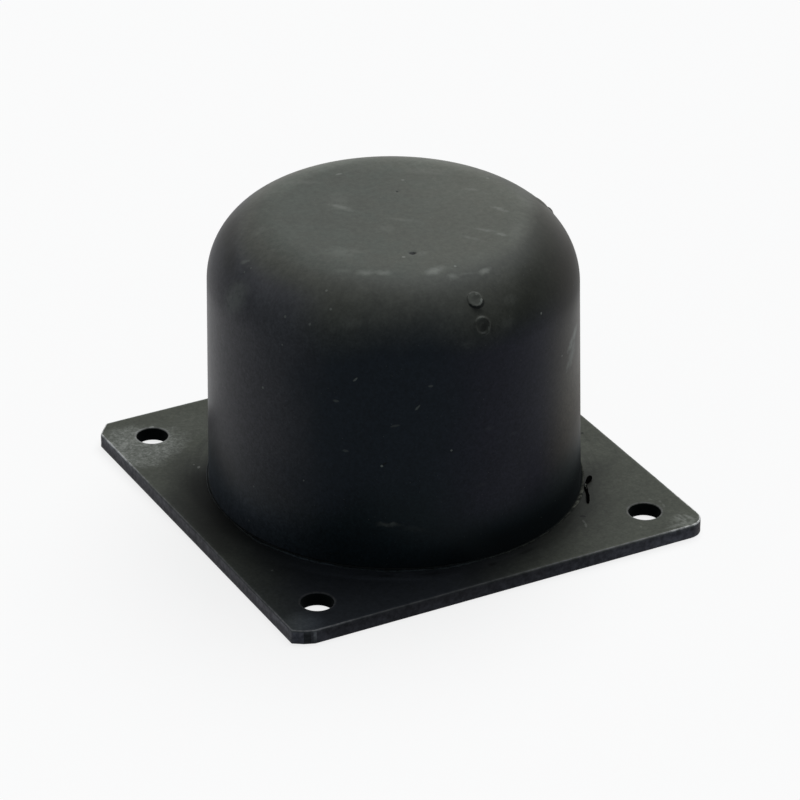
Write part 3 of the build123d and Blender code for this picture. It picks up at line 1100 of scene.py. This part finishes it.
def steel_material(s):
    """Thin dark coating, slate and olive, rubbed pale at one corner, over rough cut edges, with painted shade near
    the buffer and down the holes and a painted highlight along the arris.
    """
    material, tree, shader, where, (x, y, z) = new_material("coated_steel")
    clouds = mottle(where, 60.0, detail=4.0)
    patches = mottle(where, 260.0)
    grit = mottle(where, 700.0)
    fine = mottle(where, 1600.0)
    half, thickness, arris = s.side / 2 / MM, s.thickness / MM, s.arris / MM
    hole_place, hole_radius = s.hole_spacing / 2 / MM, s.hole_radius / MM
    across, ahead = view_axes(x, y)
    # the coating: slate along the middle of the view, partly painted shade in front of the buffer, olive to the
    # sides and darker near the buffer's front as painted shade; worn at one corner
    aside = abs(across + (clouds - 0.5) * 0.2 + 0.06)
    outer = (length_of(x, y) + (clouds - 0.5) * 6).over(51, 66)
    outer = outer.most(ahead.over(0.1, -0.3))
    olive = dimmed(s.olive_colour, outer * 0.8 + 0.2)
    top = blend(aside.over(0.3, 1.1), s.coat_and_shade_colour, olive)
    worn_reach = length_of(x + 56.5, (y - 46.4) * 1.22)
    worn_reach = worn_reach + (clouds - 0.5) * 14 + (patches - 0.5) * 7
    worn = worn_reach.over(16.5, 9) * fine.over(0.35, 0.65, 0.55, 1.0) * grit.over(0.3, 0.6, 0.7, 1.0)
    thin = length_of(x + 38, y - 50) + (patches - 0.5) * 5
    worn = worn.most(thin.over(9, 3) * 0.07)
    smudge = length_of(x - 57, y + 60) + (patches - 0.5) * 5
    worn = worn.most(smudge.over(6, 1) * grit.over(0.4, 0.6, 0.07, 0.47))
    top = blend(worn, top, s.worn_colour)
    # fine arcs round the foot, and shade beside it
    reach = length_of(x, y)
    swept = add_node(tree, "ShaderNodeCombineXYZ", {"X": y.math("ARCTAN2", x) * 4.0, "Y": reach / 1.6})
    arcs = mottle(swept.outputs[0], 1.0)
    top = dimmed(top, (arcs - 0.5) * reach.over(62, 54) * 1.2 + 1.0)
    towards = (x * math.cos(SHADE_ROUND) + y * math.sin(SHADE_ROUND)) / reach
    left_shade = towards.over(0.90, 0.985) * reach.over(66, 54) * z.over(3.5, 3.9) * 0.6
    right_shade = across.over(0.25, 0.45) * across.over(0.84, 0.74) * reach.over(67, 59) * 0.33
    right_shade = right_shade.most(ahead.over(0.25, 0.4) * reach.over(57, 54.5) * 0.28)
    broad = y.over(-34, -42) * across.over(0.5, 0.8)
    broad = broad * (reach.over(71, 66) * 0.13 + reach.over(59, 55) * 0.14)
    right_shade = right_shade.most(broad)
    fringe = reach.over(58.5, 56) * across.over(0.25, 0.05) * across.over(-0.9, -0.3) * 0.85
    top = dimmed(top, (1.0 - left_shade) * (1.0 - right_shade) * (1.0 + fringe))
    # paler near the edge and at two corners
    out = abs(x).most(abs(y))
    near_edge = out.over(half - 1.4, half - 0.4) * 0.35 + 1.0
    near_edge = near_edge + length_of(x + 58, y + 58).over(7, 1.5) * 1.5
    near_edge = near_edge + length_of(x - 60, y + 59).over(9, 2) * 0.25
    near_edge = near_edge - x.over(-56, -60) * y.over(-24, -12) * y.over(24, 14) * 0.48
    top = dimmed(top, (fine * 0.8 + 0.6) * (grit * 0.7 + 0.65) * (patches * 0.4 + 0.8) * near_edge)
    rough_where = ragged(where, 1500.0, 0.3 * MM)
    top = blend(spots(rough_where, PLATE_NICKED, s.thickness, facing_up, CRISP), top, (0.002, 0.002, 0.002))
    top = blend(spots(rough_where, PLATE_RUBBED, s.thickness, facing_up, CRISP), top, (0.30, 0.31, 0.29))

    # cut edge faces and the facets of the uneven corner
    on_left = x.over(0.6 - half, 0.2 - half)
    low_cut = dimmed(s.cut_colour, z.over(0.8, 3.4, 1.6, 0.95) * x.over(10, 50, 1.0, 2.1))
    pale_cut = dimmed((0.074, 0.070, 0.078), z.over(0.8, 3.4, 1.0, 1.65) * y.over(-30, -50, 1.0, 1.3))
    low_cut = dimmed(low_cut, x.over(-50, -56, 1.0, 1.7))
    low_cut = blend(x.over(56, 62), low_cut, (0.060, 0.052, 0.054))
    cut = blend(on_left, low_cut, pale_cut)
    facets = x.over(-57.9, -58.1) * y.over(-59.5, -59.9)
    facet = blend(x.over(-59.7, -59.9), (0.030, 0.031, 0.034), (0.105, 0.102, 0.120))
    ridge = abs(x + 57.0).over(0.55, 0.3) * y.over(-59.5, -59.9)
    cut = blend(ridge, blend(facets, cut, facet), (0.15, 0.15, 0.16))
    cut = dimmed(cut, (patches * 0.9 + 0.55) * grit.over(0.3, 0.7, 0.65, 1.35))
    side = z.over(thickness - 1.2 * arris, thickness - 0.8 * arris, 1.0, 0.0)
    colour = blend(side, top, cut)
    # the arris, worn and with a painted highlight along it, and its chips
    rim = read_attribute(tree, "rim")
    # how strongly the arris is painted worn and lit, along each side
    handled = aside.over(0.5, 1.5, 0.10, 0.24) + y.over(30, 46) * 0.16
    front = x.over(-34, -58) * 0.13 + x.over(38, 50) * 0.12 - 0.028
    handled = handled + front * y.over(-58, -61)
    handled = handled + y.over(-30, -56) * on_left * 0.07
    handled = handled * (1.0 - on_left * y.over(-16, -10) * y.over(30, 18) * 0.25)
    bluish = {"X": handled, "Y": handled, "Z": handled * 1.03}
    rubbed = add_node(tree, "ShaderNodeCombineXYZ", bluish).outputs[0]
    colour = blend(rim * patches.over(0.3, 0.6, 0.5, 1.0) * grit.over(0.35, 0.55, 0.6, 1.0), colour, rubbed)
    chipped = aside.over(1.5, 1.6).most(y.over(34, 42) * on_left)
    chips = rim.over(0.2, 0.7) * chipped * grit.over(0.4, 0.55, 0.2, 1.0)
    colour = blend(chips, colour, (0.56, 0.56, 0.55))
    # painted shade down the bolt holes
    bore = length_of(abs(x) - hole_place, abs(y) - hole_place)
    hole_shade = bore.over(hole_radius + 0.3, hole_radius + 0.1) * z.over(3.8, 3.6)
    colour = blend(hole_shade, colour, (0.001, 0.002, 0.002))
    tree.links.new(colour, shader.inputs["Base Color"])
    shader.inputs["Specular IOR Level"].default_value = 0.055
    shader.inputs["Specular Tint"].default_value = (0.85, 0.95, 1.0, 1.0)
    tree.links.new((clouds * 0.1 + 0.45 + hole_shade * 0.4 + left_shade * 0.22).socket, shader.inputs["Roughness"])
    finish_surface(shader, grit * 0.6 + fine * 0.4, 0.3, 0.06 * MM)
    return material


# ---------------------------------------------------------------- studio


def ray_switch(tree):
    """One for rays that show the background: from the camera, a reflection or a pane."""
    path = add_node(tree, "ShaderNodeLightPath")
    seen = Formula(path.outputs["Is Camera Ray"])
    seen = seen.most(Formula(path.outputs["Is Glossy Ray"]))
    return seen.most(Formula(path.outputs["Is Transmission Ray"]))


def make_floor(s):
    """Wide pale floor, which shows white and keeps a soft shadow."""
    bpy.ops.mesh.primitive_plane_add(size=12.0, location=(0.0, 0.0, -0.02 * MM))
    floor = bpy.context.object
    floor.name = "studio_floor"
    material = bpy.data.materials.new("studio_floor")
    material.use_nodes = True
    tree = material.node_tree
    tree.nodes.clear()
    paint = add_node(tree, "ShaderNodeBsdfDiffuse", {"Color": (*s.floor_colour, 1.0)})
    seen_paint = add_node(tree, "ShaderNodeBsdfDiffuse", {"Color": (0.9, 0.9, 0.9, 1.0)})
    white = add_node(tree, "ShaderNodeEmission", {"Color": (1.0, 1.0, 1.0, 1.0), "Strength": 1.0})
    shown = add_node(tree, "ShaderNodeMixShader", {0: 0.8, 1: seen_paint.outputs[0], 2: white.outputs[0]})
    mixed = add_node(
        tree,
        "ShaderNodeMixShader",
        {0: ray_switch(tree), 1: paint.outputs[0], 2: shown.outputs[0]},
    )
    add_node(tree, "ShaderNodeOutputMaterial", {"Surface": mixed.outputs[0]})
    floor.data.materials.append(material)


def make_world(s):
    """White where it is seen, dim where it lights."""
    world = bpy.data.worlds.new("studio")
    bpy.context.scene.world = world
    world.use_nodes = True
    tree = world.node_tree
    tree.nodes.clear()
    dim = add_node(tree, "ShaderNodeBackground", {"Color": (*s.fill_colour, 1.0), "Strength": 1.0})
    white = add_node(tree, "ShaderNodeBackground", {"Color": (1.0, 1.0, 1.0, 1.0), "Strength": 1.0})
    mixed = add_node(tree, "ShaderNodeMixShader", {0: ray_switch(tree), 1: dim.outputs[0], 2: white.outputs[0]})
    add_node(tree, "ShaderNodeOutputWorld", {"Surface": mixed.outputs[0]})


def make_lamp(s):
    """One broad soft lamp from above and behind."""
    lamp = bpy.data.lights.new("overhead", "SUN")
    lamp.energy = s.lamp_strength
    lamp.angle = s.lamp_width
    sun = bpy.data.objects.new("overhead", lamp)
    bpy.context.scene.collection.objects.link(sun)
    flat = math.cos(s.lamp_elevation)
    towards = Vector(
        (math.cos(s.lamp_azimuth) * flat, math.sin(s.lamp_azimuth) * flat, math.sin(s.lamp_elevation))
    )
    sun.rotation_mode = "QUATERNION"
    sun.rotation_quaternion = towards.to_track_quat("Z", "Y")


def make_camera(s):
    """Camera at the studio's viewing angle."""
    flat = math.cos(s.elevation)
    back = Vector((math.sin(s.azimuth) * flat, -math.cos(s.azimuth) * flat, math.sin(s.elevation)))
    right = (-back).cross(Vector((0.0, 0.0, 1.0))).normalized()
    up = right.cross(-back)
    data = bpy.data.cameras.new("camera")
    data.lens = s.lens
    data.sensor_width = 36.0
    data.clip_start = 0.05
    data.clip_end = 50.0
    camera = bpy.data.objects.new("camera", data)
    bpy.context.scene.collection.objects.link(camera)
    side = right * math.cos(s.roll) + up * math.sin(s.roll)
    top = up * math.cos(s.roll) - right * math.sin(s.roll)
    turned = Matrix((side, top, back)).transposed().to_4x4()
    turned.translation = back * s.distance + right * s.offset_right + up * s.offset_up
    camera.matrix_world = turned
    bpy.context.scene.camera = camera


# ---------------------------------------------------------------- operators


class BUMPSTOP_OT_plate(Operator):
    """Make the coated steel plate with its holes and cut corners"""

    bl_idname = "bumpstop.plate"
    bl_label = "Steel plate"

    def execute(self, context):
        make_plate()
        return {"FINISHED"}


class BUMPSTOP_OT_buffer(Operator):
    """Make the moulded rubber buffer with its film, marks and scuffs"""

    bl_idname = "bumpstop.buffer"
    bl_label = "Rubber buffer"

    def execute(self, context):
        make_buffer()
        return {"FINISHED"}


class BUMPSTOP_OT_studio(Operator):
    """Make the floor, the light and the camera"""

    bl_idname = "bumpstop.studio"
    bl_label = "Studio"

    def execute(self, context):
        s = context.scene.bump_stop_studio
        make_floor(s)
        make_world(s)
        make_lamp(s)
        make_camera(s)
        return {"FINISHED"}


class BUMPSTOP_PT_parts(Panel):
    """Lists what can be made"""

    bl_idname = "BUMPSTOP_PT_parts"
    bl_label = "Bump stop"
    bl_space_type = "VIEW_3D"
    bl_region_type = "UI"
    bl_category = "Bump stop"

    def draw(self, context):
        scene = context.scene
        for operator, settings in (
            (BUMPSTOP_OT_plate, scene.bump_stop_plate),
            (BUMPSTOP_OT_buffer, scene.bump_stop_buffer),
            (BUMPSTOP_OT_studio, scene.bump_stop_studio),
        ):
            box = self.layout.box()
            box.operator(operator.bl_idname)
            for name in settings.__annotations__:
                box.prop(settings, name)


CLASSES = (
    BufferSettings,
    PlateSettings,
    StudioSettings,
    BUMPSTOP_OT_plate,
    BUMPSTOP_OT_buffer,
    BUMPSTOP_OT_studio,
    BUMPSTOP_PT_parts,
)


def register():
    for cls in CLASSES:
        bpy.utils.register_class(cls)
    bpy.types.Scene.bump_stop_buffer = PointerProperty(type=BufferSettings)
    bpy.types.Scene.bump_stop_plate = PointerProperty(type=PlateSettings)
    bpy.types.Scene.bump_stop_studio = PointerProperty(type=StudioSettings)


def unregister():
    del bpy.types.Scene.bump_stop_studio
    del bpy.types.Scene.bump_stop_plate
    del bpy.types.Scene.bump_stop_buffer
    for cls in reversed(CLASSES):
        bpy.utils.unregister_class(cls)


def main():
    register()
    bpy.context.scene.view_settings.view_transform = "Standard"
    bpy.ops.bumpstop.plate()
    bpy.ops.bumpstop.buffer()
    bpy.ops.bumpstop.studio()


if __name__ == "__main__":
    main()
